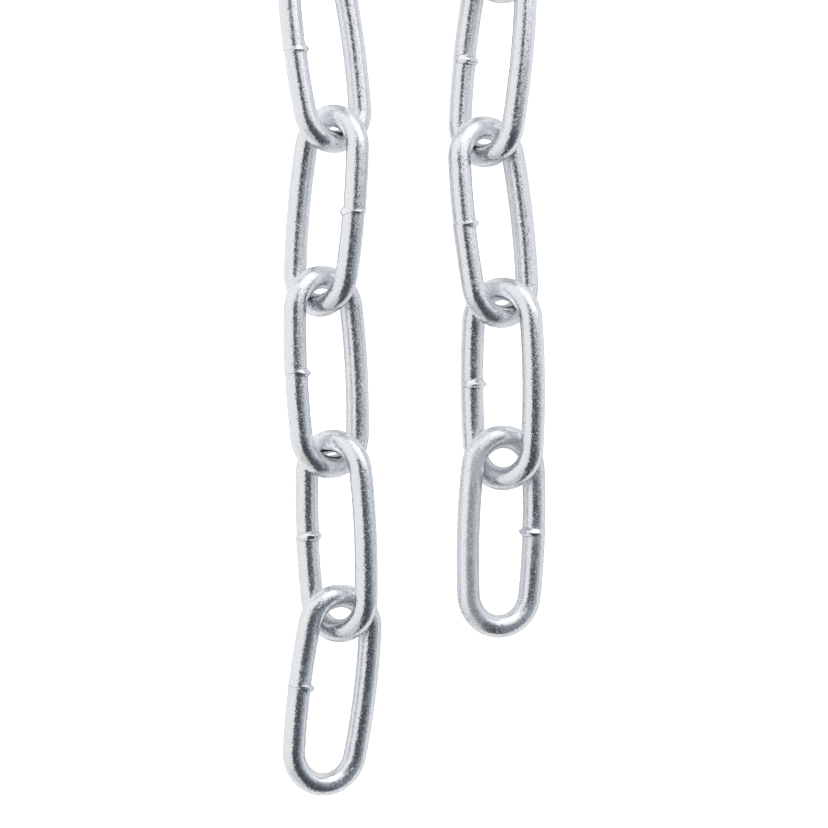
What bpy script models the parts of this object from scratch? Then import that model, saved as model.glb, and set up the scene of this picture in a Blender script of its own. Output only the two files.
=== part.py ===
"""One metre of welded long-link steel chain, laid doubled on a level floor.

Metres, +Z up. The two free ends lie side by side and point to -Y, and the bend
lies at +Y. The origin is the middle of the underside of the whole length.
"""

import math

import bmesh
import bpy
import numpy as np
from mathutils import Euler, Matrix, Vector

# One link: a round wire bent to a long oval, butt welded in the middle of one leg
WIRE = 0.0048
INNER_LENGTH = 0.035
OUTER_WIDTH = 0.020
LEG_BOW = 0.0005
WELD_PROUD = 0.0004
WELD_HALF_LENGTH = 0.0009

# How finely a link is faceted
WIRE_SIDES = 10
CROWN_STEPS = 8
LEG_STEPS = 3

# Clearance between the wires of two links where they hook into each other
JOINT_GAP = 0.0004

# The left free end, from its last link up: heading in degrees clockwise from +Y,
# lean in degrees off the floor, side step to the next link, and the welded leg.
# Links stand by turns with their left and their right leg raised.
LEFT_END = [
    (7.0, 26.3, -0.0004, "left"),
    (-2.4, 36.0, -0.0005, "left"),
    (-2.9, 35.0, -0.0007, "left"),
    (5.0, 39.0, 0.0004, "right"),
    (-7.6, 36.5, 0.0, "left"),
]

# The right free end, from its first link down to its last
RIGHT_END = [
    (185.7, 39.0, 0.0, "right"),
    (173.8, 36.0, 0.0, "right"),
    (179.6, 32.5, 0.0, "right"),
    (181.8, 24.5, 0.0, "left"),
]

# The stretch between them: two runs that draw apart, and a round bend of five links
RUN_SHAPE = [0.55, 0.9, 1.1, 1.15, 1.05, 0.8, 0.3]
LEFT_FLARE = 11.4
RIGHT_FLARE = 6.23
RUN_LEAN = 36.0
BEND_HEADINGS = [14.0, 52.0, 90.0, 128.0, 166.0]
BEND_LEAN = 38.0
HALF_TURN = 180.0

# Zinc plating on steel
ZINC_COLOUR = (0.66, 0.68, 0.70, 1.0)
ZINC_ROUGHNESS = 0.28

# The wire's centreline: two wide leg arcs joined by two crown arcs
HALF_LENGTH = (INNER_LENGTH + WIRE) / 2
HALF_WIDTH = (OUTER_WIDTH - WIRE) / 2
CROWN_RADIUS = HALF_WIDTH - LEG_BOW
CROWN_CENTRE = HALF_LENGTH - CROWN_RADIUS
LEG_RADIUS = (HALF_WIDTH ** 2 + CROWN_CENTRE ** 2 - CROWN_RADIUS ** 2) / (2 * LEG_BOW)
LEG_CENTRE = LEG_RADIUS - HALF_WIDTH
LEG_ANGLE = math.asin(CROWN_CENTRE / (LEG_RADIUS - CROWN_RADIUS))

# A polygon of this corner radius has the same area as the round wire
CORNER_RADIUS = (WIRE / 2) * math.sqrt(
    2 * math.pi / (WIRE_SIDES * math.sin(2 * math.pi / WIRE_SIDES))
)

# Steps of the search that hooks one link into the next
FINE_STEPS = 60
REACH_START = INNER_LENGTH / 2 + 0.0002
REACH_LEAST = 0.8 * REACH_START
REACH_STEP = 0.00005
HALVINGS = 20


def clear_scene():
    """Remove every object that a new file holds."""
    for item in list(bpy.data.objects):
        bpy.data.objects.remove(item, do_unlink=True)


def arc_stations(centre, radius, start, stop, fractions):
    """Stations (x, y, angle of the outward normal) along one arc of the oval."""
    stations = []
    for fraction in fractions:
        angle = start + (stop - start) * fraction
        x = centre[0] + radius * math.cos(angle)
        y = centre[1] + radius * math.sin(angle)
        stations.append((x, y, angle))
    return stations


def oval_stations(crown_fractions, right_fractions, left_fractions):
    """Stations once round the oval, from the foot of the right leg."""
    straight = math.pi
    right_leg = arc_stations(
        (-LEG_CENTRE, 0.0), LEG_RADIUS, -LEG_ANGLE, LEG_ANGLE, right_fractions
    )
    top_crown = arc_stations(
        (0.0, CROWN_CENTRE), CROWN_RADIUS, LEG_ANGLE, straight - LEG_ANGLE, crown_fractions
    )
    left_leg = arc_stations(
        (LEG_CENTRE, 0.0), LEG_RADIUS, straight - LEG_ANGLE, straight + LEG_ANGLE, left_fractions
    )
    bottom_crown = arc_stations(
        (0.0, -CROWN_CENTRE), CROWN_RADIUS, straight + LEG_ANGLE, 2 * straight - LEG_ANGLE,
        crown_fractions,
    )
    return right_leg + top_crown + left_leg + bottom_crown


def even_fractions(steps):
    """Fractions of an arc at even steps, without its far end."""
    return [step / steps for step in range(steps)]


def leg_fractions(welded):
    """Fractions of a leg, with three more stations across the weld in its middle."""
    fractions = even_fractions(LEG_STEPS)
    if welded:
        half_weld = WELD_HALF_LENGTH / (2 * LEG_RADIUS * LEG_ANGLE)
        fractions = fractions + [0.5 - half_weld, 0.5, 0.5 + half_weld]
    return sorted(fractions)


def link_rings(lean, welded_leg):
    """Corner points of each wire section, as an array of rings by sides by xyz."""
    stations = oval_stations(
        even_fractions(CROWN_STEPS),
        leg_fractions(welded_leg == "right"),
        leg_fractions(welded_leg == "left"),
    )
    side_angle = 2 * math.pi / WIRE_SIDES
    # One flat of the section faces straight down when the link leans
    first_corner = -(math.pi / 2 - math.radians(lean)) + side_angle / 2
    rings = []
    for x, y, normal in stations:
        on_weld = abs(y) < WELD_HALF_LENGTH / 2 and (x > 0) == (welded_leg == "right")
        swell = WELD_PROUD / 2 if on_weld else 0.0
        radius = CORNER_RADIUS + swell
        ring = []
        for side in range(WIRE_SIDES):
            turn = first_corner + side * side_angle
            # The weld is flush outside and stands proud towards the eye
            outward = radius * math.cos(turn) - swell
            ring.append((
                x + outward * math.cos(normal),
                y + outward * math.sin(normal),
                radius * math.sin(turn),
            ))
        rings.append(ring)
    return np.array(rings)


def lean_rotation(raised, lean, heading):
    """Rotation that leans a link onto one leg and then points it along its heading."""
    sign = 1 if raised == "left" else -1
    roll = Euler((0.0, sign * math.radians(lean), 0.0)).to_matrix()
    turn = Euler((0.0, 0.0, -math.radians(heading))).to_matrix()
    return turn @ roll


def link_plan():
    """Every link in order: heading, lean, side step, welded leg."""
    left_run = [(-LEFT_FLARE * share, RUN_LEAN, 0.0, "raised") for share in RUN_SHAPE]
    bend = [(heading, BEND_LEAN, 0.0, "raised") for heading in BEND_HEADINGS]
    right_run = [
        (HALF_TURN + RIGHT_FLARE * share, RUN_LEAN, 0.0, "raised")
        for share in reversed(RUN_SHAPE)
    ]
    return LEFT_END + left_run + bend + right_run + RIGHT_END


def half_centreline():
    """Close-set points on the far half of the centreline, from leg to leg."""
    stations = oval_stations(
        even_fractions(FINE_STEPS), even_fractions(FINE_STEPS), even_fractions(FINE_STEPS)
    )
    return np.array([(x, y, 0.0) for x, y, normal in stations if y >= 0])


def joint_clearance(near_half, far_half):
    """Clear distance between two wires, from their centrelines."""
    steps = near_half[:, None, :] - far_half[None, :, :]
    return math.sqrt((steps ** 2).sum(axis=2).min()) - WIRE


def heading_vector(heading):
    """Unit vector of a heading on the floor."""
    angle = math.radians(heading)
    return np.array([math.sin(angle), math.cos(angle), 0.0])


def hook_link(last, following, side_step):
    """Centre of the following link, drawn tight until the wires are a gap apart."""
    near_half = last["far_half"] + last["centre"]
    along = heading_vector(last["heading"]) + heading_vector(following["heading"])
    ahead = along / np.linalg.norm(along)
    sideways = np.array([ahead[1], -ahead[0], 0.0]) * side_step
    ground = last["centre"] * np.array([1.0, 1.0, 0.0])
    lift = np.array([0.0, 0.0, following["height"]])

    def centre_at(reach):
        return ground + along * reach + sideways + lift

    def is_clear(reach):
        far_half = following["near_half"] + centre_at(reach)
        return joint_clearance(near_half, far_half) >= JOINT_GAP

    reach = REACH_START
    while not is_clear(reach):
        reach -= REACH_STEP
        if reach < REACH_LEAST:
            raise ValueError("two links lean too little to hook into each other")
    too_far = reach + REACH_STEP
    for _ in range(HALVINGS):
        middle = (reach + too_far) / 2
        if is_clear(middle):
            reach = middle
        else:
            too_far = middle
    return centre_at(reach)


def lay_chain():
    """Pose of every link, hooked one into the next from the left free end on."""
    far_half = half_centreline()
    near_half = far_half * np.array([1.0, -1.0, 1.0])
    links = []
    side_step = 0.0
    for index, (heading, lean, next_side_step, welded_leg) in enumerate(link_plan()):
        raised = "left" if index % 2 == 0 else "right"
        rotation = lean_rotation(raised, lean, heading)
        turned = np.array(rotation).T
        rings = link_rings(lean, raised if welded_leg == "raised" else welded_leg)
        link = {
            "heading": heading,
            "rotation": rotation,
            "rings": rings,
            "laid_rings": rings @ turned,
            "height": -(rings @ turned)[..., 2].min(),
            "far_half": far_half @ turned,
            "near_half": near_half @ turned,
        }
        if links:
            link["centre"] = hook_link(links[-1], link, side_step)
        else:
            link["centre"] = np.array([0.0, 0.0, link["height"]])
        side_step = next_side_step
        links.append(link)
    return links


def centre_on_origin(links):
    """Shift the whole length so that the middle of its underside is the origin."""
    corners = np.concatenate([
        (link["laid_rings"] + link["centre"]).reshape(-1, 3) for link in links
    ])
    low = corners.min(axis=0)
    high = corners.max(axis=0)
    shift = np.array([(low[0] + high[0]) / 2, (low[1] + high[1]) / 2, low[2]])
    for link in links:
        link["centre"] = link["centre"] - shift


def link_mesh(name, rings, material):
    """Closed ring of wire, skinned from section to section."""
    shape = bmesh.new()
    loops = [[shape.verts.new(Vector(corner)) for corner in ring] for ring in rings]
    ring_count = len(loops)
    for index, loop in enumerate(loops):
        following = loops[(index + 1) % ring_count]
        for side in range(WIRE_SIDES):
            other = (side + 1) % WIRE_SIDES
            shape.faces.new((loop[side], loop[other], following[other], following[side]))
    bmesh.ops.recalc_face_normals(shape, faces=shape.faces)
    mesh = bpy.data.meshes.new(name)
    shape.to_mesh(mesh)
    shape.free()
    mesh.shade_smooth()
    mesh.materials.append(material)
    return mesh


def zinc_plated_steel():
    """Bright zinc plating, slightly cool and satin."""
    material = bpy.data.materials.new("zinc_plated_steel")
    material.use_nodes = True
    shader = material.node_tree.nodes["Principled BSDF"]
    shader.inputs["Base Color"].default_value = ZINC_COLOUR
    shader.inputs["Metallic"].default_value = 1.0
    shader.inputs["Roughness"].default_value = ZINC_ROUGHNESS
    return material


def build_chain():
    """One object for each link, numbered from the left free end to the right one."""
    links = lay_chain()
    centre_on_origin(links)
    material = zinc_plated_steel()
    for number, link in enumerate(links, start=1):
        name = f"chain_link_{number:02d}"
        item = bpy.data.objects.new(name, link_mesh(name, link["rings"], material))
        item.matrix_world = Matrix.Translation(link["centre"]) @ link["rotation"].to_4x4()
        bpy.context.scene.collection.objects.link(item)


clear_scene()
build_chain()
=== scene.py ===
# %% [markdown]
# A length of zinc-plated, long-link steel chain.
# The chain lies doubled on a level floor, and the camera looks straight down on its two
# free ends. Each link is one piece of round wire, bent to a long oval and butt welded in the
# middle of one leg. The solids in model.glb already lie in place: they say where every link
# is, and this script gives each one its smooth wire, its weld and its zinc. All sizes are
# metres.

import math

import bpy
import numpy as np
from mathutils import Matrix, Vector


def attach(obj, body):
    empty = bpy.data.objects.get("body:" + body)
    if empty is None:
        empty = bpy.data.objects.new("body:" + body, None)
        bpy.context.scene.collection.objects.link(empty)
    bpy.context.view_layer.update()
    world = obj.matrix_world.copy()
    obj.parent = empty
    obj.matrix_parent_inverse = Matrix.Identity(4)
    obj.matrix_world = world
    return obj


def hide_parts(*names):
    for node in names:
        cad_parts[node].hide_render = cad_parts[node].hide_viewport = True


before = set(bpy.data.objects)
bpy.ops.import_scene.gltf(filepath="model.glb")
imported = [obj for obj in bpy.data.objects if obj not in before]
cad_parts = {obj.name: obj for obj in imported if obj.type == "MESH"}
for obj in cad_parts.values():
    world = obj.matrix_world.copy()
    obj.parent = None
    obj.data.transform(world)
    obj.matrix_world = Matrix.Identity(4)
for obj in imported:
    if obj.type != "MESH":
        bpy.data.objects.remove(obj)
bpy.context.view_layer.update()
link_nodes = sorted(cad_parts)
print("links:", len(link_nodes))

# %% [markdown]
# The sizes are those of the common 5 x 35 mm long-link chain: 35 mm inside a link, 20 mm
# across outside, and a wire that measures 4.8 mm. The legs bow outwards by half a
# millimetre, because the wire is bent cold round a mandrel and springs back. Four arcs draw
# such an oval, and the lines below work out the radius of the long ones.

# %% Sizes of one link
WIRE = 0.0048
INNER_LENGTH = 0.035
OUTER_WIDTH = 0.020
LEG_BOW = 0.0005
HALF_LENGTH = (INNER_LENGTH + WIRE) / 2
HALF_WIDTH = (OUTER_WIDTH - WIRE) / 2
CROWN_RADIUS = HALF_WIDTH - LEG_BOW
CROWN_CENTRE = HALF_LENGTH - CROWN_RADIUS
LEG_RADIUS = (HALF_WIDTH ** 2 + CROWN_CENTRE ** 2 - CROWN_RADIUS ** 2) / (2 * LEG_BOW)
LEG_CENTRE = LEG_RADIUS - HALF_WIDTH
LEG_ANGLE = math.asin(CROWN_CENTRE / (LEG_RADIUS - CROWN_RADIUS))
print("leg radius in mm:", round(LEG_RADIUS * 1000, 1))

# %% [markdown]
# Every link leans its own way, so a new piece has to take over the pose of its solid. That
# could be typed in link by link, but the solid already holds it: the directions in which its
# surface spreads most, second most and least are the link's length, its width and the normal
# of its plane. The only corners near the middle of a leg belong to the weld, so they tell
# which leg is welded, and the link is turned to have that leg at +X.

# %% Read the pose of a link from its solid
MIDDLE_ZONE = 0.0003


def solid_corners(node):
    """Corners of the solid, and the centre and area of each of its triangles."""
    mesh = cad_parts[node].data
    corners = np.array([vertex.co for vertex in mesh.vertices])
    triangles = np.array([triangle.vertices for triangle in mesh.polygons])
    first, second, third = (corners[triangles[:, index]] for index in range(3))
    areas = np.linalg.norm(np.cross(second - first, third - first), axis=1) / 2
    return corners, (first + second + third) / 3, areas


def link_pose(node):
    """Matrix from the link's own axes to the floor's: width X, length Y, plane normal Z."""
    corners, centres, areas = solid_corners(node)
    middle = (centres * areas[:, None]).sum(axis=0) / areas.sum()
    spread = ((centres - middle) * areas[:, None]).T @ (centres - middle)
    directions = np.linalg.eigh(spread)[1]
    normal = directions[:, 0] * np.sign(directions[2, 0])
    width = directions[:, 1]
    length = np.cross(normal, width)
    own = (corners - middle) @ np.array([width, length, normal]).T
    weld_side = np.sign(own[np.abs(own[:, 1]) < MIDDLE_ZONE, 0].mean())
    width = width * weld_side
    length = length * weld_side
    axes = np.array([width, length, normal])
    own = (corners - middle) @ axes.T
    centre = middle + (own.min(axis=0) + own.max(axis=0)) / 2 @ axes
    pose = Matrix(axes.T.tolist()).to_4x4()
    pose.translation = Vector(centre)
    return pose


poses = {node: link_pose(node) for node in link_nodes}
for node in link_nodes[:2] + link_nodes[-2:]:
    lean = math.degrees(math.acos(poses[node].col[2].z))
    print(node, "centre mm", [round(value * 1000, 2) for value in poses[node].translation],
          "lean", round(lean, 1))

# %% [markdown]
# The camera comes early, because everything is judged through it. The chain lies flat, so
# the camera looks straight down. A long lens from far away keeps the two ends parallel, as
# in a catalogue picture. The picture is 828 pixels square, and the scale comes from the
# link: its inner length of 35 mm is 167 pixels long there. The scale holds at the height of
# the links' middle, half way up the chain.

# %% Camera straight above the two free ends
IMAGE_SIDE = 828
INNER_LENGTH_PIXELS = 167.2
FIRST_LINK_PIXEL = (332.0, 690.5)
CAMERA_LENS = 200.0
CAMERA_SENSOR = 36.0
LINK_MIDDLE_HEIGHT = 0.007


def add_camera():
    """A long lens, pointing down with +Y at the top of the picture."""
    metres_per_pixel = INNER_LENGTH / INNER_LENGTH_PIXELS
    data = bpy.data.cameras.new("catalogue_camera")
    data.lens = CAMERA_LENS
    data.sensor_width = CAMERA_SENSOR
    camera = bpy.data.objects.new("catalogue_camera", data)
    bpy.context.scene.collection.objects.link(camera)
    first = poses[link_nodes[0]].translation
    across = (IMAGE_SIDE / 2 - FIRST_LINK_PIXEL[0]) * metres_per_pixel
    along = (FIRST_LINK_PIXEL[1] - IMAGE_SIDE / 2) * metres_per_pixel
    distance = IMAGE_SIDE * metres_per_pixel * CAMERA_LENS / CAMERA_SENSOR
    camera.location = (first.x + across, first.y + along, LINK_MIDDLE_HEIGHT + distance)
    bpy.context.scene.camera = camera
    return camera


camera = add_camera()
print("camera at", [round(value, 3) for value in camera.location])

# %% [markdown]
# A link's wire follows two wide arcs for the legs and two tight ones for the crowns. The
# centreline starts and ends at the weld, as the real wire does, so no seam shows elsewhere.
# Its points lie closer together near the weld, which has the finest shape.

# %% Centreline of one link
WELD_LEG_POINTS = 30
WELD_LEG_CROWDING = 2.2
CROWN_POINTS = 30
FREE_LEG_POINTS = 24


def arc_points(centre, radius, start, stop, fractions):
    """Points on one arc, at fractions of its length."""
    angles = [start + (stop - start) * fraction for fraction in fractions]
    return [(centre[0] + radius * math.cos(angle), centre[1] + radius * math.sin(angle), 0.0)
            for angle in angles]


def centreline_points():
    """Points once round the link, from the weld up the right leg and back."""
    crowded = [(step / WELD_LEG_POINTS) ** WELD_LEG_CROWDING for step in range(WELD_LEG_POINTS)]
    opening = [1 - fraction for fraction in reversed(crowded[1:])]
    crown = [step / CROWN_POINTS for step in range(CROWN_POINTS)]
    free = [step / FREE_LEG_POINTS for step in range(FREE_LEG_POINTS)]
    right, left = (-LEG_CENTRE, 0.0), (LEG_CENTRE, 0.0)
    top, bottom = (0.0, CROWN_CENTRE), (0.0, -CROWN_CENTRE)
    half = math.pi
    points = arc_points(right, LEG_RADIUS, 0.0, LEG_ANGLE, crowded)
    points += arc_points(top, CROWN_RADIUS, LEG_ANGLE, half - LEG_ANGLE, crown)
    points += arc_points(left, LEG_RADIUS, half - LEG_ANGLE, half + LEG_ANGLE, free)
    points += arc_points(bottom, CROWN_RADIUS, half + LEG_ANGLE, 2 * half - LEG_ANGLE, crown)
    points += arc_points(right, LEG_RADIUS, -LEG_ANGLE, 0.0, [0.0] + opening)
    return points


def centreline_curve():
    """The centreline as a closed curve, ready to be swept."""
    points = centreline_points()
    curve = bpy.data.curves.new("wire_centreline", "CURVE")
    curve.dimensions = "3D"
    spline = curve.splines.new("POLY")
    spline.points.add(len(points) - 1)
    for point, place in zip(spline.points, points):
        point.co = (*place, 1.0)
    spline.use_cyclic_u = True
    return curve


centreline = centreline_curve()
print("points on the centreline:", len(centreline.splines[0].points))

# %% [markdown]
# The zinc and the welded wire are both built as trees of nodes. They could be drawn by hand
# in the node editor, but a script can be read, changed and run again. A few helpers keep it
# short: most of them add one node, set or link its inputs and give its output.

# %% Helpers that add nodes to a tree
def new_group(name, kind, inputs, outputs):
    """A node group with its input and output nodes; sockets are (name, type, value)."""
    group = bpy.data.node_groups.new(name, kind)
    for label, socket, value in inputs:
        item = group.interface.new_socket(name=label, in_out="INPUT", socket_type=socket)
        if value is not None:
            item.default_value = value
    for label, socket in outputs:
        group.interface.new_socket(name=label, in_out="OUTPUT", socket_type=socket)
    entry = group.nodes.new("NodeGroupInput")
    leave = group.nodes.new("NodeGroupOutput")
    return group, entry, leave


def add_node(tree, kind, values=None, **settings):
    """A node with its settings, and its inputs set or linked by name or number."""
    node = tree.nodes.new(kind)
    for name, setting in settings.items():
        setattr(node, name, setting)
    for key, value in (values or {}).items():
        if isinstance(value, bpy.types.NodeSocket):
            tree.links.new(value, node.inputs[key])
        else:
            node.inputs[key].default_value = value
    return node


def math_node(tree, operation, *values):
    """Arithmetic on up to three numbers."""
    return add_node(tree, "ShaderNodeMath", dict(enumerate(values)),
                    operation=operation).outputs[0]


def vector_node(tree, operation, *values):
    """Arithmetic on vectors that gives a vector."""
    return add_node(tree, "ShaderNodeVectorMath", dict(enumerate(values)),
                    operation=operation).outputs["Vector"]


def vector_value(tree, operation, *values):
    """Arithmetic on vectors that gives a number, such as a length."""
    return add_node(tree, "ShaderNodeVectorMath", dict(enumerate(values)),
                    operation=operation).outputs["Value"]


def scale_vector(tree, vector, scale):
    """A vector times a number."""
    return add_node(tree, "ShaderNodeVectorMath", {0: vector, "Scale": scale},
                    operation="SCALE").outputs["Vector"]


def axis_of(tree, vector, axis):
    """One coordinate of a vector."""
    return add_node(tree, "ShaderNodeSeparateXYZ", {0: vector}).outputs[axis]


def map_value(tree, value, span, result=(0.0, 1.0), smooth=False):
    """A number moved from one span to another, evenly or with soft ends."""
    return add_node(tree, "ShaderNodeMapRange", {
        "Value": value, "From Min": span[0], "From Max": span[1],
        "To Min": result[0], "To Max": result[1],
    }, interpolation_type="SMOOTHSTEP" if smooth else "LINEAR").outputs["Result"]


def blend_values(tree, factor, first, second):
    """Blend of two numbers."""
    return map_value(tree, factor, (0.0, 1.0), (first, second))


def blend(tree, kind, factor, first, second):
    """Blend of two colours (RGBA) or two vectors (VECTOR)."""
    return add_node(tree, "ShaderNodeMix", {"Factor": factor, "A": first, "B": second},
                    data_type=kind).outputs["Result"]


def stored(tree, name, output="Fac"):
    """A value that the mesh carries under a name, as a number or as a vector."""
    return add_node(tree, "ShaderNodeAttribute", attribute_name=name).outputs[output]


def seeded_noise(tree, place, seed, scale, detail=2.0, roughness=0.5):
    """Soft noise, of its own for every seed."""
    return add_node(tree, "ShaderNodeTexNoise", {
        "Vector": place, "W": seed, "Scale": scale, "Detail": detail, "Roughness": roughness,
    }, noise_dimensions="4D").outputs["Fac"]


def seeded_cells(tree, place, seed, scale):
    """A pattern of cells, of its own for every seed; gives all its outputs."""
    return add_node(tree, "ShaderNodeTexVoronoi", {
        "Vector": place, "W": seed, "Scale": scale, "Randomness": 1.0,
    }, voronoi_dimensions="4D").outputs


helpers = (math_node, vector_node, vector_value, scale_vector, axis_of, map_value,
           blend_values, blend, stored, seeded_noise, seeded_cells)
print("helpers:", ", ".join(helper.__name__ for helper in helpers))

# %% [markdown]
# Zinc is laid on the wire in a bath. It is bright, a little blue, and covered with crystals
# a fifth of a millimetre across. Some of their faces lie flat, a few lean far, and some are
# more frosted than others, so the wire glitters most where it mirrors something dark. A bump
# texture alone could give that glitter, but the renderer's noise filter wipes it off metal
# this smooth. A roughness of its own for every crystal keeps it. Ripples from the drawing
# and bending show underneath. The wire and its weld share one shader group, each with its
# own values. The pattern is read from the link's own straight axes, stored on the mesh, and
# where links rub on each other, a second stored value polishes the crystals off.

# %% Shader group of the zinc grain
PLACE_ATTRIBUTE = "wire_place"
SEED_ATTRIBUTE = "link_seed"
RUB_ATTRIBUTE = "rubbed"
RIPPLE_DETAIL = 3.0
RIPPLE_ROUGHNESS = 0.55
GRAINS_PER_METRE = 3200.0
LEAN_SPAN = (0.85, 1.45)
FROST_SPAN = (0.45, 1.0)
PATCHES_PER_METRE = 900.0
PATCH_DETAIL = 4.0
PATCH_ROUGHNESS = 0.6
ROUGH_PATCH_SPAN = (0.35, 0.65)
DARK_PATCH_SPAN = (0.62, 0.30)


def rippled_normal(group, entry, place, seed):
    """Normal of the drawn wire: soft ripples with a fine grain on top."""
    ripple = seeded_noise(group, place, seed, entry["Ripples Per Metre"],
                          RIPPLE_DETAIL, RIPPLE_ROUGHNESS)
    ripple_bump = add_node(group, "ShaderNodeBump", {
        "Height": ripple, "Distance": entry["Ripple Height"],
    })
    grain = seeded_noise(group, place, seed, GRAINS_PER_METRE)
    return add_node(group, "ShaderNodeBump", {
        "Height": grain, "Distance": entry["Grain Height"],
        "Normal": ripple_bump.outputs["Normal"],
    }).outputs["Normal"]


def crystal_lean(group, entry, crystal, unrubbed):
    """Lean of each crystal's face; a random colour from -1 to 1 gives the direction."""
    lean = vector_node(group, "MULTIPLY_ADD", crystal["Color"], (2.0, 2.0, 2.0),
                       (-1.0, -1.0, -1.0))
    strength = map_value(group, vector_value(group, "LENGTH", lean), LEAN_SPAN,
                         (0.0, entry["Crystal Tilt"]), smooth=True)
    return scale_vector(group, lean, math_node(group, "MULTIPLY", strength, unrubbed))


def zinc_grain_group():
    """Tint, roughness and normal of zinc crystals over ripples in the wire."""
    group, entry, leave = new_group(
        "zinc_grain", "ShaderNodeTree",
        [("Crystals Per Metre", "NodeSocketFloat", 5000.0),
         ("Crystal Tilt", "NodeSocketFloat", 0.17),
         ("Grain Height", "NodeSocketFloat", 0.000016),
         ("Ripples Per Metre", "NodeSocketFloat", 300.0),
         ("Ripple Height", "NodeSocketFloat", 0.000007),
         ("Low Roughness", "NodeSocketFloat", 0.10),
         ("High Roughness", "NodeSocketFloat", 0.17),
         ("Crystal Roughness", "NodeSocketFloat", 0.33),
         ("Light Tint", "NodeSocketColor", (0.86, 0.88, 0.90, 1.0)),
         ("Dark Tint", "NodeSocketColor", (0.81, 0.84, 0.88, 1.0))],
        [("Tint", "NodeSocketColor"), ("Roughness", "NodeSocketFloat"),
         ("Normal", "NodeSocketVector")])
    entry = entry.outputs
    place = stored(group, PLACE_ATTRIBUTE, "Vector")
    seed = stored(group, SEED_ATTRIBUTE)
    unrubbed = math_node(group, "SUBTRACT", 1.0, stored(group, RUB_ATTRIBUTE))
    crystal = seeded_cells(group, place, seed, entry["Crystals Per Metre"])
    patch = seeded_noise(group, place, seed, PATCHES_PER_METRE, PATCH_DETAIL, PATCH_ROUGHNESS)
    normal = vector_node(group, "ADD", rippled_normal(group, entry, place, seed),
                         crystal_lean(group, entry, crystal, unrubbed))
    chance = add_node(group, "ShaderNodeSeparateColor", {"Color": crystal["Color"]})
    frost = map_value(group, chance.outputs["Green"], FROST_SPAN)
    rough = map_value(group, patch, ROUGH_PATCH_SPAN,
                      (entry["Low Roughness"], entry["High Roughness"]))
    rough = blend_values(group, math_node(group, "MULTIPLY", frost, unrubbed), rough,
                         entry["Crystal Roughness"])
    tint = blend(group, "RGBA", map_value(group, patch, DARK_PATCH_SPAN),
                 entry["Light Tint"], entry["Dark Tint"])
    group.links.new(tint, leave.inputs["Tint"])
    group.links.new(rough, leave.inputs["Roughness"])
    group.links.new(vector_node(group, "NORMALIZE", normal), leave.inputs["Normal"])
    return group


zinc_grain = zinc_grain_group()
print("shader group:", zinc_grain.name, len(zinc_grain.nodes), "nodes")

# %% [markdown]
# The grain alone would make every link equal. Real zinc also carries the long scratches of
# wire drawing, a soft white bloom where it has stood in damp air, and small pits. A second
# group gives these as masks. The scratches are read from the wire as if it were
# straightened, so that they follow the bend round the crown, and each link carries its own
# dullness, which says how far the bloom spreads.

# %% Shader group of scratches, bloom and pits
RUN_ATTRIBUTE = "wire_run"
DULL_ATTRIBUTE = "link_dull"
STREAK_STRETCH = (1800.0, 1800.0, 60.0)
STREAK_DETAIL = 3.0
STREAK_ROUGHNESS = 0.7
STREAK_SPAN = (0.40, 0.70)
BLOOM_SCALE = 160.0
BLOOM_DETAIL = 5.0
BLOOM_NOISE_ROUGHNESS = 0.65
BLOOM_SPAN = (0.72, 0.75)
PIT_SCALE = 420.0
PIT_CORE = 0.02


def wire_wear_group():
    """Masks of drawing scratches, white bloom and small pits along the wire."""
    group, entry, leave = new_group(
        "wire_wear", "ShaderNodeTree",
        [("Bloom Amount", "NodeSocketFloat", 0.9),
         ("Pit Radius", "NodeSocketFloat", 0.10)],
        [("Scratch", "NodeSocketFloat"), ("Bloom", "NodeSocketFloat"),
         ("Pit", "NodeSocketFloat")])
    entry = entry.outputs
    place = stored(group, PLACE_ATTRIBUTE, "Vector")
    seed = stored(group, SEED_ATTRIBUTE)
    stretched = vector_node(group, "MULTIPLY", stored(group, RUN_ATTRIBUTE, "Vector"),
                            STREAK_STRETCH)
    streak = seeded_noise(group, stretched, seed, 1.0, STREAK_DETAIL, STREAK_ROUGHNESS)
    scratch = map_value(group, streak, STREAK_SPAN)
    cloud = seeded_noise(group, place, seed, BLOOM_SCALE, BLOOM_DETAIL, BLOOM_NOISE_ROUGHNESS)
    spread = math_node(group, "MULTIPLY", stored(group, DULL_ATTRIBUTE), entry["Bloom Amount"])
    start = math_node(group, "SUBTRACT", BLOOM_SPAN[0], spread)
    bloom = map_value(group, cloud, (start, BLOOM_SPAN[1]), smooth=True)
    spot = seeded_cells(group, place, seed, PIT_SCALE)
    pit = map_value(group, spot["Distance"], (entry["Pit Radius"], PIT_CORE), smooth=True)
    group.links.new(scratch, leave.inputs["Scratch"])
    group.links.new(bloom, leave.inputs["Bloom"])
    group.links.new(pit, leave.inputs["Pit"])
    return group


wire_wear = wire_wear_group()
print("shader group:", wire_wear.name, len(wire_wear.nodes), "nodes")
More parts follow.
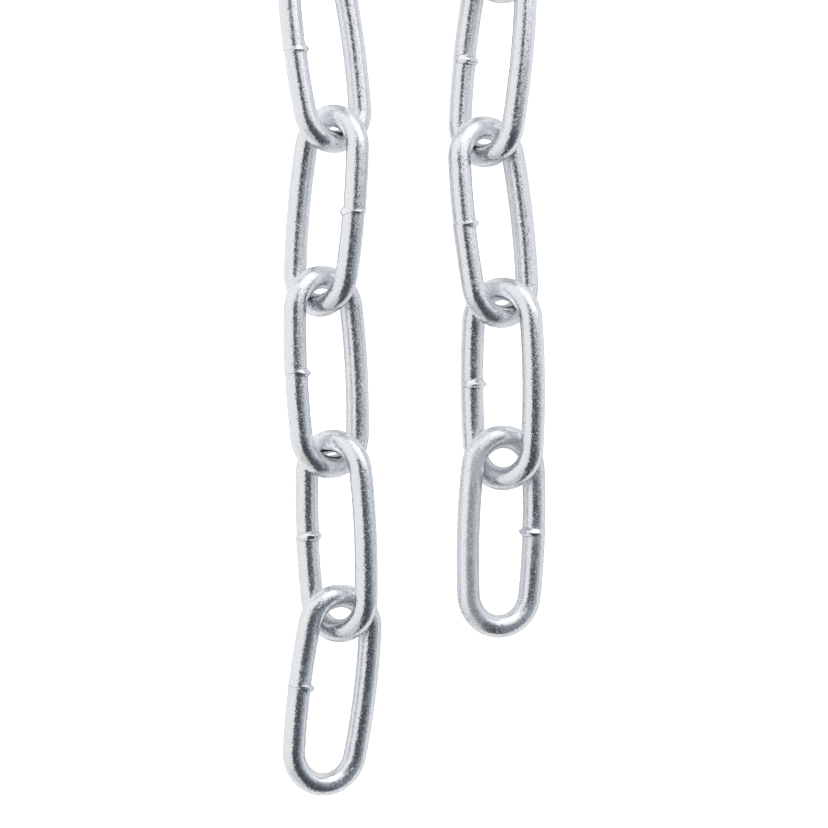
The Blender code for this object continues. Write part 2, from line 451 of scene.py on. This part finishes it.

# %% [markdown]
# The material joins the two groups. The grain is placed twice, once with the values of the
# wire and once, smoother and brighter, for the weld's bead, which was molten and then
# plated. A number stored on the mesh grows from nought on the bead to one at its edge. It
# blends one grain into the other at the foot of the bead. There a thin dark line is painted:
# on the trimmed outside it is the dark seam of scale, and round the foot of the inner knob it
# is painted shade in the crease. The metal itself is a plain Principled shader.

# %% Material of the zinc-plated wire
WELD_ATTRIBUTE = "weld_distance"
BEAD_GRAIN = {
    "Crystals Per Metre": 2200.0, "Crystal Tilt": 0.02, "Ripple Height": 0.00004,
    "Low Roughness": 0.06, "High Roughness": 0.14, "Crystal Roughness": 0.14,
    "Light Tint": (0.93, 0.94, 0.96, 1.0),
}
BEAD_SPAN = (1.1, 0.85)
# Thin dark line at the bead's foot: dark scale on the trimmed seam, and painted shade in the
# crease round the inner knob.
SCALE_SHADE_LINE_PLACE = 1.1
SCALE_SHADE_LINE_REACH = 0.25
SCALE_SHADE_LINE_STRENGTH = 0.36
BLOOM_COLOUR = (0.78, 0.80, 0.84, 1.0)
BLOOM_ROUGHNESS = 0.30
BLOOM_METALLIC = 0.5
PIT_COLOUR = (0.20, 0.18, 0.16, 1.0)
PIT_STRENGTH = 0.35
# Colour of that line: dark scale on the seam, and painted shade at the knob's foot.
SCALE_AND_SHADE_COLOUR = (0.16, 0.16, 0.17, 1.0)
RUB_COLOUR = (0.93, 0.94, 0.96, 1.0)
SCRATCH_ROUGHNESS = 0.05


def place_group(tree, group, values):
    """A copy of a shader group in the material, with its own values; gives its outputs."""
    node = tree.nodes.new("ShaderNodeGroup")
    node.node_tree = group
    for key, value in values.items():
        node.inputs[key].default_value = value
    return node.outputs


def scale_and_shade_line(tree, weld):
    """Mask of the thin dark line round the bead's foot: scale on the seam, painted shade in the
    crease.
    """
    off_line = math_node(tree, "SUBTRACT", weld, SCALE_SHADE_LINE_PLACE)
    off_line = math_node(tree, "ABSOLUTE", off_line)
    return map_value(tree, off_line, (SCALE_SHADE_LINE_REACH, 0.0), (0.0, SCALE_SHADE_LINE_STRENGTH),
                     smooth=True)


def zinc_plated_wire():
    """Bright zinc on round wire, with its weld bead, bloom, scratches and rubbed places."""
    material = bpy.data.materials.new("zinc_plated_wire")
    material.use_nodes = True
    tree = material.node_tree
    metal = tree.nodes["Principled BSDF"].inputs
    wire = place_group(tree, zinc_grain, {})
    bead = place_group(tree, zinc_grain, BEAD_GRAIN)
    wear = place_group(tree, wire_wear, {})
    weld = stored(tree, WELD_ATTRIBUTE)
    on_bead = map_value(tree, weld, BEAD_SPAN, smooth=True)
    pit = math_node(tree, "MULTIPLY", wear["Pit"], PIT_STRENGTH)
    tint = blend(tree, "RGBA", wear["Bloom"], wire["Tint"], BLOOM_COLOUR)
    tint = blend(tree, "RGBA", pit, tint, PIT_COLOUR)
    tint = blend(tree, "RGBA", stored(tree, RUB_ATTRIBUTE), tint, RUB_COLOUR)
    tint = blend(tree, "RGBA", on_bead, tint, bead["Tint"])
    # Painted shade: the dark line round the bead's foot, partly dark scale on the seam.
    tint = blend(tree, "RGBA", scale_and_shade_line(tree, weld), tint, SCALE_AND_SHADE_COLOUR)
    scratch = math_node(tree, "MULTIPLY", wear["Scratch"], SCRATCH_ROUGHNESS)
    rough = blend_values(tree, wear["Bloom"], wire["Roughness"], BLOOM_ROUGHNESS)
    rough = math_node(tree, "ADD", rough, scratch)
    rough = blend_values(tree, on_bead, rough, bead["Roughness"])
    bare = blend_values(tree, wear["Bloom"], 1.0, BLOOM_METALLIC)
    bare = blend_values(tree, on_bead, bare, 1.0)
    normal = blend(tree, "VECTOR", on_bead, wire["Normal"], bead["Normal"])
    tree.links.new(bare, metal["Metallic"])
    tree.links.new(tint, metal["Base Color"])
    tree.links.new(rough, metal["Roughness"])
    tree.links.new(normal, metal["Normal"])
    return material


zinc = zinc_plated_wire()
print("material:", zinc.name, len(zinc.node_tree.nodes), "nodes")

# %% [markdown]
# Two wire ends are pressed together and welded. They never meet quite true, so the leg has a
# tiny step there, and the steel that was pressed out stands up as a bead. The machine trims
# the bead on the outside of the link, but can't reach the inside, where a round knob stays.
# A bevelled curve could be the wire, but the weld would then need a second piece. Geometry
# Nodes raise the bead out of the wire's own skin instead: each corner of the swept tube knows
# how far it is from the weld and moves out accordingly. Noise makes the bead wander and swell.

# %% Fields of the weld: the step and the bead
BUTT_STEP = 0.00012
BUTT_STEP_REACH = 0.003
BUTT_STEP_BLEND = 0.0001
BEAD_INSIDE = 0.00078
BEAD_OUTSIDE = 0.000085
BEAD_HALF_WIDTH = 0.00086
BEAD_WANDER = 0.00012
WANDERS_AROUND = 1.3
TRIMMED_SPAN = (0.7, -0.6)
TRIMMING_POWER = 3.2
TRIMMED_WIDTH_SHARE = 0.5
LUMPS_PER_METRE = 800.0
LUMP_SIZE = 0.7
MARK_FADE = 1.1
MARK_FADE_POWER = 3.0
FLOOR_SIDE_SPAN = (0.95, 0.3)


def noise_field(tree, place, scale, number):
    """Noise centred on nought, from -1 to 1, of its own for every link."""
    return math_node(tree, "MULTIPLY_ADD", seeded_noise(tree, place, number, scale), 2.0, -1.0)


def combine(tree, x, y, z):
    """A vector from three numbers."""
    return add_node(tree, "ShaderNodeCombineXYZ", {"X": x, "Y": y, "Z": z}).outputs[0]


def butt_step(tree, size, signed, number):
    """Shift of the centreline: each wire end sits a little aside, less so further off."""
    distance = math_node(tree, "ABSOLUTE", signed)
    far = math_node(tree, "DIVIDE", distance, size["Butt Step Reach"])
    fade = math_node(tree, "EXPONENT", math_node(tree, "MULTIPLY", far, -1.0))
    soft = math_node(tree, "ADD", distance, BUTT_STEP_BLEND)
    step = math_node(tree, "MULTIPLY", math_node(tree, "DIVIDE", signed, soft), fade)
    step = math_node(tree, "MULTIPLY", step, size["Butt Step"])
    aside = combine(tree, math_node(tree, "SINE", number), 0.0,
                    math_node(tree, "COSINE", number))
    return scale_vector(tree, aside, step)


def weld_bead(tree, size, signed, radial, position, number):
    """Height of the bead, and the distance from it in half widths for the material."""
    wander = math_node(tree, "MULTIPLY", noise_field(tree, radial, WANDERS_AROUND, number),
                       size["Bead Wander"])
    away = math_node(tree, "ABSOLUTE", math_node(tree, "SUBTRACT", signed, wander))
    across = axis_of(tree, radial, "X")
    inside = map_value(tree, across, TRIMMED_SPAN, smooth=True)
    half_width = blend_values(tree, inside, TRIMMED_WIDTH_SHARE, 1.0)
    half_width = math_node(tree, "MULTIPLY", half_width, size["Bead Half Width"])
    away = math_node(tree, "DIVIDE", away, half_width)
    ridge = math_node(tree, "SUBTRACT", 1.0, math_node(tree, "MULTIPLY", away, away))
    ridge = math_node(tree, "MAXIMUM", ridge, 0.0)
    left_standing = math_node(tree, "MULTIPLY_ADD", across, -0.5, 0.5)
    left_standing = math_node(tree, "POWER", left_standing, TRIMMING_POWER)
    height = blend_values(tree, left_standing, size["Bead Outside"], size["Bead Inside"])
    lumps = math_node(tree, "MULTIPLY_ADD",
                      noise_field(tree, position, LUMPS_PER_METRE, number), LUMP_SIZE, 1.0)
    height = math_node(tree, "MULTIPLY", math_node(tree, "MULTIPLY", height, ridge), lumps)
    down = vector_value(tree, "DOT_PRODUCT", radial, size["Floor Direction"])
    height = math_node(tree, "MULTIPLY", height,
                       map_value(tree, down, FLOOR_SIDE_SPAN, smooth=True))
    trimmed = math_node(tree, "SUBTRACT", 1.0, inside)
    trimmed = math_node(tree, "POWER", trimmed, MARK_FADE_POWER)
    return height, math_node(tree, "MULTIPLY_ADD", trimmed, MARK_FADE, away)


print("bead height in mm:", round(BEAD_INSIDE * 1000, 2), "inside the link,",
      round(BEAD_OUTSIDE * 1000, 3), "outside")

# %% [markdown]
# One tree makes all the links, and a number and a few values tell them apart. It could hand
# out copies of one link, but then every weld would be the same. The tree sweeps the round
# section along the centreline, moves the skin out by the bead and by a slight unevenness of
# the wire, and stores what the material reads: the straight place, the place along the wire,
# the link's number and dullness, the distance from the weld, and where the neighbours rub
# the crown bright from the inside.

# %% Geometry nodes of one link
WIRE_SIDES = 40
WIRE_UNEVENNESS = 0.00001
UNEVENNESS_PER_METRE = 220.0
LINK_NUMBER_STEP = 3.7
RUB_SPAN = (-0.2, -0.85)
PLAIN_LEG_SPAN = (-0.3 * HALF_WIDTH, -HALF_WIDTH)


def capture(tree, geometry, kind, label, value):
    """Captures one field on the points of a geometry; gives the geometry and the field."""
    node = tree.nodes.new("GeometryNodeCaptureAttribute")
    node.domain = "POINT"
    node.capture_items.new(kind, label)
    tree.links.new(geometry, node.inputs[0])
    tree.links.new(value, node.inputs[1])
    return node.outputs[0], node.outputs[1]


def store(tree, geometry, kind, label, value):
    """Stores a field on the mesh under a name; gives the geometry."""
    return add_node(tree, "GeometryNodeStoreNamedAttribute",
                    {"Geometry": geometry, "Name": label, "Value": value},
                    data_type=kind, domain="POINT").outputs[0]


def distance_from_weld(tree):
    """Length along the wire, and the same with a minus on the half before the weld."""
    run = add_node(tree, "GeometryNodeSplineParameter").outputs["Length"]
    whole = add_node(tree, "GeometryNodeSplineLength").outputs["Length"]
    past_half = math_node(tree, "GREATER_THAN", run, math_node(tree, "MULTIPLY", whole, 0.5))
    signed = math_node(tree, "SUBTRACT", run, math_node(tree, "MULTIPLY", whole, past_half))
    return run, signed


def rubbed_crowns(tree, centre, radial):
    """Mask of the inner side of both crowns, where the neighbours touch."""
    along = axis_of(tree, centre, "Y")
    inward = math_node(tree, "MULTIPLY", axis_of(tree, radial, "Y"),
                       math_node(tree, "SIGN", along))
    at_crown = map_value(tree, math_node(tree, "ABSOLUTE", along),
                         (HALF_LENGTH - WIRE, HALF_LENGTH), smooth=True)
    return map_value(tree, inward, RUB_SPAN, (0.0, at_crown), smooth=True)


def welded_wire_tree():
    """Round wire swept along a centreline that starts and ends at its weld."""
    tree, entry, leave = new_group(
        "welded_wire_link", "GeometryNodeTree",
        [("Geometry", "NodeSocketGeometry", None),
         ("Wire Diameter", "NodeSocketFloat", WIRE),
         ("Wire Sides", "NodeSocketInt", WIRE_SIDES),
         ("Wire Unevenness", "NodeSocketFloat", WIRE_UNEVENNESS),
         ("Bead Inside", "NodeSocketFloat", BEAD_INSIDE),
         ("Bead Outside", "NodeSocketFloat", BEAD_OUTSIDE),
         ("Bead Half Width", "NodeSocketFloat", BEAD_HALF_WIDTH),
         ("Bead Wander", "NodeSocketFloat", BEAD_WANDER),
         ("Butt Step", "NodeSocketFloat", BUTT_STEP),
         ("Butt Step Reach", "NodeSocketFloat", BUTT_STEP_REACH),
         ("Floor Direction", "NodeSocketVector", (0.0, 0.0, -1.0)),
         ("Link Number", "NodeSocketFloat", 0.0),
         ("Dullness", "NodeSocketFloat", 0.0),
         ("Plain Leg Dullness", "NodeSocketFloat", 0.0),
         ("Material", "NodeSocketMaterial", None)],
        [("Geometry", "NodeSocketGeometry")])
    size = entry.outputs
    number = math_node(tree, "MULTIPLY", size["Link Number"], LINK_NUMBER_STEP)
    position = add_node(tree, "GeometryNodeInputPosition").outputs[0]

    run, signed = distance_from_weld(tree)
    shift = butt_step(tree, size, signed, number)
    geometry, run = capture(tree, size["Geometry"], "FLOAT", "run", run)
    geometry, signed = capture(tree, geometry, "FLOAT", "signed", signed)
    geometry, shift = capture(tree, geometry, "VECTOR", "shift", shift)
    geometry, centre = capture(tree, geometry, "VECTOR", "centre", position)
    geometry = add_node(tree, "GeometryNodeSetCurveNormal", {"Curve": geometry},
                        mode="Z_UP").outputs[0]
    radius = math_node(tree, "MULTIPLY", size["Wire Diameter"], 0.5)
    circle = add_node(tree, "GeometryNodeCurvePrimitiveCircle",
                      {"Resolution": size["Wire Sides"], "Radius": radius}).outputs["Curve"]
    circle, section = capture(tree, circle, "VECTOR", "section", position)
    geometry = add_node(tree, "GeometryNodeCurveToMesh",
                        {"Curve": geometry, "Profile Curve": circle}).outputs[0]

    radial = vector_node(tree, "NORMALIZE", vector_node(tree, "SUBTRACT", position, centre))
    height, mark = weld_bead(tree, size, signed, radial, position, number)
    uneven = math_node(tree, "MULTIPLY",
                       noise_field(tree, position, UNEVENNESS_PER_METRE, number),
                       size["Wire Unevenness"])
    out = scale_vector(tree, radial, math_node(tree, "ADD", height, uneven))
    out = vector_node(tree, "ADD", out, shift)

    dullness = map_value(tree, axis_of(tree, centre, "X"), PLAIN_LEG_SPAN,
                         (size["Dullness"], size["Plain Leg Dullness"]), smooth=True)
    straightened = combine(tree, axis_of(tree, section, "X"), axis_of(tree, section, "Y"), run)
    rubbed = rubbed_crowns(tree, centre, radial)
    geometry = store(tree, geometry, "FLOAT_VECTOR", PLACE_ATTRIBUTE, position)
    geometry = store(tree, geometry, "FLOAT_VECTOR", RUN_ATTRIBUTE, straightened)
    geometry = store(tree, geometry, "FLOAT", SEED_ATTRIBUTE, number)
    geometry = store(tree, geometry, "FLOAT", DULL_ATTRIBUTE, dullness)
    geometry = store(tree, geometry, "FLOAT", WELD_ATTRIBUTE, mark)
    geometry = store(tree, geometry, "FLOAT", RUB_ATTRIBUTE, rubbed)
    geometry = add_node(tree, "GeometryNodeSetPosition",
                        {"Geometry": geometry, "Offset": out}).outputs[0]
    geometry = add_node(tree, "GeometryNodeSetShadeSmooth", {"Geometry": geometry}).outputs[0]
    geometry = add_node(tree, "GeometryNodeRealizeInstances", {"Geometry": geometry}).outputs[0]
    geometry = add_node(tree, "GeometryNodeSetMaterial",
                        {"Geometry": geometry, "Material": size["Material"]}).outputs[0]
    tree.links.new(geometry, leave.inputs["Geometry"])
    return tree


wire_tree = welded_wire_tree()
print("geometry tree:", wire_tree.name, len(wire_tree.nodes), "nodes")

# %% [markdown]
# Every link is made the same way: the modifier gets the link's number and dullness, the
# evaluated curve becomes a plain mesh, and the pose of the solid moves that mesh in place, so
# the object itself stays unturned at the origin. All links have a little bloom. The lowest
# one on the right is duller than the rest, most of all on its leg without a weld.

# %% Make the 28 links
COMMON_DULLNESS = 0.12
DULL_LINKS = {"chain_link_28": 0.34}
DULL_PLAIN_LEGS = {"chain_link_28": 0.72}
DOWN = Vector((0.0, 0.0, -1.0))


def socket_identifiers(tree):
    """Identifier of each named input, which a modifier's values are set by."""
    return {item.name: item.identifier for item in tree.interface.items_tree
            if item.item_type == "SOCKET" and item.in_out == "INPUT"}


def make_link(node, number):
    """One smooth link in the place of its solid, as a plain mesh."""
    curve = bpy.data.objects.new("link_centreline", centreline)
    bpy.context.scene.collection.objects.link(curve)
    modifier = curve.modifiers.new("wire", "NODES")
    modifier.node_group = wire_tree
    identifiers = socket_identifiers(wire_tree)
    modifier[identifiers["Floor Direction"]] = poses[node].to_3x3().transposed() @ DOWN
    modifier[identifiers["Link Number"]] = float(number)
    modifier[identifiers["Dullness"]] = DULL_LINKS.get(node, COMMON_DULLNESS)
    modifier[identifiers["Plain Leg Dullness"]] = DULL_PLAIN_LEGS.get(node, COMMON_DULLNESS)
    modifier[identifiers["Material"]] = zinc
    graph = bpy.context.evaluated_depsgraph_get()
    mesh = bpy.data.meshes.new_from_object(curve.evaluated_get(graph))
    bpy.data.objects.remove(curve)
    mesh.name = node.replace("chain_", "")
    mesh.transform(poses[node])
    link = bpy.data.objects.new(mesh.name, mesh)
    bpy.context.scene.collection.objects.link(link)
    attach(link, "root")
    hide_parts(node)
    return link


links = [make_link(node, number) for number, node in enumerate(link_nodes, start=1)]
print("links made:", len(links), "with", len(links[0].data.polygons), "faces each")

# %% [markdown]
# The chain lies on a plain, pale floor. Lamps alone would light such a floor unevenly, so it
# glows by itself and stays white. A wire that mirrored all of that glow would lose its dark
# underside, and so a Light Path node lets the camera see far more of it than the wire does.

# %% Floor
WHITE = (1.0, 1.0, 1.0, 1.0)
FLOOR_COLOUR = (0.85, 0.85, 0.85, 1.0)
FLOOR_HEIGHT = -0.0001
FLOOR_REACH = 6.0
FLOOR_GLOW = 0.95
FLOOR_GLOW_REFLECTED = 0.11


def flat_panel(name, corners, material):
    """A flat sheet for the studio, from its corners in order."""
    mesh = bpy.data.meshes.new(name)
    mesh.from_pydata(corners, [], [tuple(range(len(corners)))])
    mesh.materials.append(material)
    sheet = bpy.data.objects.new(name, mesh)
    bpy.context.scene.collection.objects.link(sheet)
    return sheet


def pale_floor():
    """A level, matt white floor that is lit from within a little, so it stays white."""
    material = bpy.data.materials.new("pale_floor")
    material.use_nodes = True
    tree = material.node_tree
    matt = tree.nodes["Principled BSDF"].inputs
    matt["Base Color"].default_value = FLOOR_COLOUR
    matt["Roughness"].default_value = 1.0
    matt["Specular IOR Level"].default_value = 0.0
    matt["Emission Color"].default_value = WHITE
    seen = add_node(tree, "ShaderNodeLightPath").outputs["Is Camera Ray"]
    glow = blend_values(tree, seen, FLOOR_GLOW_REFLECTED, FLOOR_GLOW)
    tree.links.new(glow, matt["Emission Strength"])
    reach, height = FLOOR_REACH, FLOOR_HEIGHT
    corners = [(-reach, -reach, height), (reach, -reach, height),
               (reach, reach, height), (-reach, reach, height)]
    return flat_panel("floor", corners, material)


floor = pale_floor()
print("sheet:", floor.name, "at", FLOOR_HEIGHT)

# %% [markdown]
# The studio is the larger half of a picture of bright metal, for the wire shows little but
# what surrounds it. Lamps would only give it hot spots, so shining sheets stand round it, most
# with a slow change of strength along them. A wide one on the left reaches from the horizon to
# almost overhead, and beside its edge runs the dark line down every leg. Two level ones float
# beside the camera's view, towards the top of the picture, for the crowns and the right-hand
# flanks. Two upright ones close the far and the near side. The camera sees none of them. One
# more sheet, which the wire can't mirror, lights the floor from the left.

# %% Light panels
LEFT_PANEL_LOW = (-1.5, 0.03)
LEFT_PANEL_HIGH = (-0.52, 1.9)
LEFT_PANEL_REACH = (-3.0, 3.0)
LEFT_PANEL_STEPS = [(-2.0, 0.70), (-0.9, 0.86), (0.0, 0.93), (1.0, 1.0)]
TOP_PANEL_HEIGHT = 0.35
TOP_PANEL_OUTLINE = [(-0.21, -0.01), (0.0, -0.01), (0.0, 1.6), (-0.21, 1.6)]
TOP_PANEL_STEPS = [(-0.01, 0.75), (0.1, 0.88), (0.3, 1.0)]
RIGHT_PANEL_HEIGHT = 0.35
RIGHT_PANEL_OUTLINE = [(0.14, -0.13), (1.3, -0.13), (1.3, 1.3), (0.0, 1.3), (0.0, 0.20)]
RIGHT_PANEL_STEPS = [(-0.13, 0.36), (-0.09, 0.58), (-0.05, 0.78), (0.0, 0.95), (0.06, 1.10),
                     (0.15, 1.22), (0.3, 1.35)]
FAR_WALL_PLACE = 1.6
FAR_WALL_ACROSS = (-1.6, 1.6)
FAR_WALL_UP = (0.0, 0.6)
FAR_WALL_STEPS = [(0.0, 0.66), (0.25, 1.1)]
NEAR_WALL_PLACE = -1.5
NEAR_WALL_ACROSS = (-1.5, 0.0)
NEAR_WALL_UP = (0.0, 1.25)
NEAR_WALL_STEPS = [(0.0, 0.64)]
FLOOR_LAMP_HEIGHT = 1.0
FLOOR_LAMP_OUTLINE = [(-1.2, -1.0), (-0.2, -1.0), (-0.2, 1.0), (-1.2, 1.0)]
FLOOR_LAMP_STEPS = [(0.0, 2.7)]


def glow_material(name, steps, axis="Y"):
    """A sheet that only shines; steps are (place along the axis, strength)."""
    material = bpy.data.materials.new(name)
    material.use_nodes = True
    tree = material.node_tree
    tree.nodes.remove(tree.nodes["Principled BSDF"])
    place = add_node(tree, "ShaderNodeTexCoord").outputs["Object"]
    along = axis_of(tree, place, axis)
    strength = steps[0][1]
    for (low, _), (high, bright) in zip(steps, steps[1:]):
        strength = map_value(tree, along, (low, high), (strength, bright))
    glow = add_node(tree, "ShaderNodeEmission", {"Strength": strength})
    tree.links.new(glow.outputs[0], tree.nodes["Material Output"].inputs["Surface"])
    return material


def shining_sheet(name, corners, steps, axis="Y"):
    """A light panel that the chain mirrors and the camera doesn't see."""
    sheet = flat_panel(name, corners, glow_material(name + "_glow", steps, axis))
    sheet.visible_camera = False
    return sheet


def left_panel():
    """Wide panel on the left, from the horizon to almost overhead."""
    (low_x, low_z), (high_x, high_z) = LEFT_PANEL_LOW, LEFT_PANEL_HIGH
    front, back = LEFT_PANEL_REACH
    corners = [(low_x, front, low_z), (low_x, back, low_z),
               (high_x, back, high_z), (high_x, front, high_z)]
    return shining_sheet("left_panel", corners, LEFT_PANEL_STEPS)


def level_panel(name, outline, height, steps):
    """Level panel over the chain, beside the camera's view."""
    return shining_sheet(name, [(x, y, height) for x, y in outline], steps)


def standing_wall(name, across, up, place, steps):
    """Upright panel across the table, at its far or near side."""
    corners = [(across[0], place, up[0]), (across[1], place, up[0]),
               (across[1], place, up[1]), (across[0], place, up[1])]
    return shining_sheet(name, corners, steps, axis="X")


def floor_lamp():
    """Lights the floor alone, from the left, so that the wire darkens the floor beside it."""
    lamp = level_panel("floor_lamp", FLOOR_LAMP_OUTLINE, FLOOR_LAMP_HEIGHT, FLOOR_LAMP_STEPS)
    lamp.visible_glossy = False
    return lamp


panels = [
    left_panel(),
    level_panel("top_panel", TOP_PANEL_OUTLINE, TOP_PANEL_HEIGHT, TOP_PANEL_STEPS),
    level_panel("right_panel", RIGHT_PANEL_OUTLINE, RIGHT_PANEL_HEIGHT, RIGHT_PANEL_STEPS),
    standing_wall("far_wall", FAR_WALL_ACROSS, FAR_WALL_UP, FAR_WALL_PLACE, FAR_WALL_STEPS),
    standing_wall("near_wall", NEAR_WALL_ACROSS, NEAR_WALL_UP, NEAR_WALL_PLACE,
                  NEAR_WALL_STEPS),
    floor_lamp(),
]
print("panels:", [sheet.name for sheet in panels])

# %% [markdown]
# What the panels leave open is the room. It is dark straight above and to the left, which
# gives the wire its dark bands, and its right side is a pale, slightly blue wall in half
# light. The room could be a box of six walls, but a colour ramp over the direction of view is
# simpler and has no corners. To the camera it is plain white.

# %% The dim room
ROOM_STEPS = [(0.0, 0.07), (1.0, 0.50), (0.58, 0.075), (0.77, 0.18), (0.87, 0.29), (0.95, 0.38)]
ROOM_TINT = (0.91, 1.0, 1.14)
ROOM_LIFT_SPAN = (-0.2, 0.4)
ROOM_LIFT = (1.0, 2.2)
RAMP_STARTS_WITH = 2


def dim_room():
    """Dark all round, brighter on the right and towards the far side; white to the camera."""
    world = bpy.data.worlds.new("dim_room")
    bpy.context.scene.world = world
    world.use_nodes = True
    tree = world.node_tree
    tree.nodes.clear()
    direction = add_node(tree, "ShaderNodeTexCoord").outputs["Generated"]
    shade = add_node(tree, "ShaderNodeValToRGB", {"Fac": axis_of(tree, direction, "X")})
    ramp = shade.color_ramp.elements
    for index, (place, grey) in enumerate(ROOM_STEPS):
        element = ramp[index] if index < RAMP_STARTS_WITH else ramp.new(place)
        element.color = (*(grey * share for share in ROOM_TINT), 1.0)
    lift = map_value(tree, axis_of(tree, direction, "Y"), ROOM_LIFT_SPAN, ROOM_LIFT)
    shade = scale_vector(tree, shade.outputs["Color"], lift)
    seen = add_node(tree, "ShaderNodeLightPath").outputs["Is Camera Ray"]
    colour = blend(tree, "RGBA", seen, shade, WHITE)
    background = add_node(tree, "ShaderNodeBackground", {"Color": colour})
    output = tree.nodes.new("ShaderNodeOutputWorld")
    tree.links.new(background.outputs[0], output.inputs["Surface"])
    return world


room = dim_room()
bpy.context.scene.view_settings.view_transform = "Standard"
print("room:", room.name, "with", len(ROOM_STEPS), "shades")
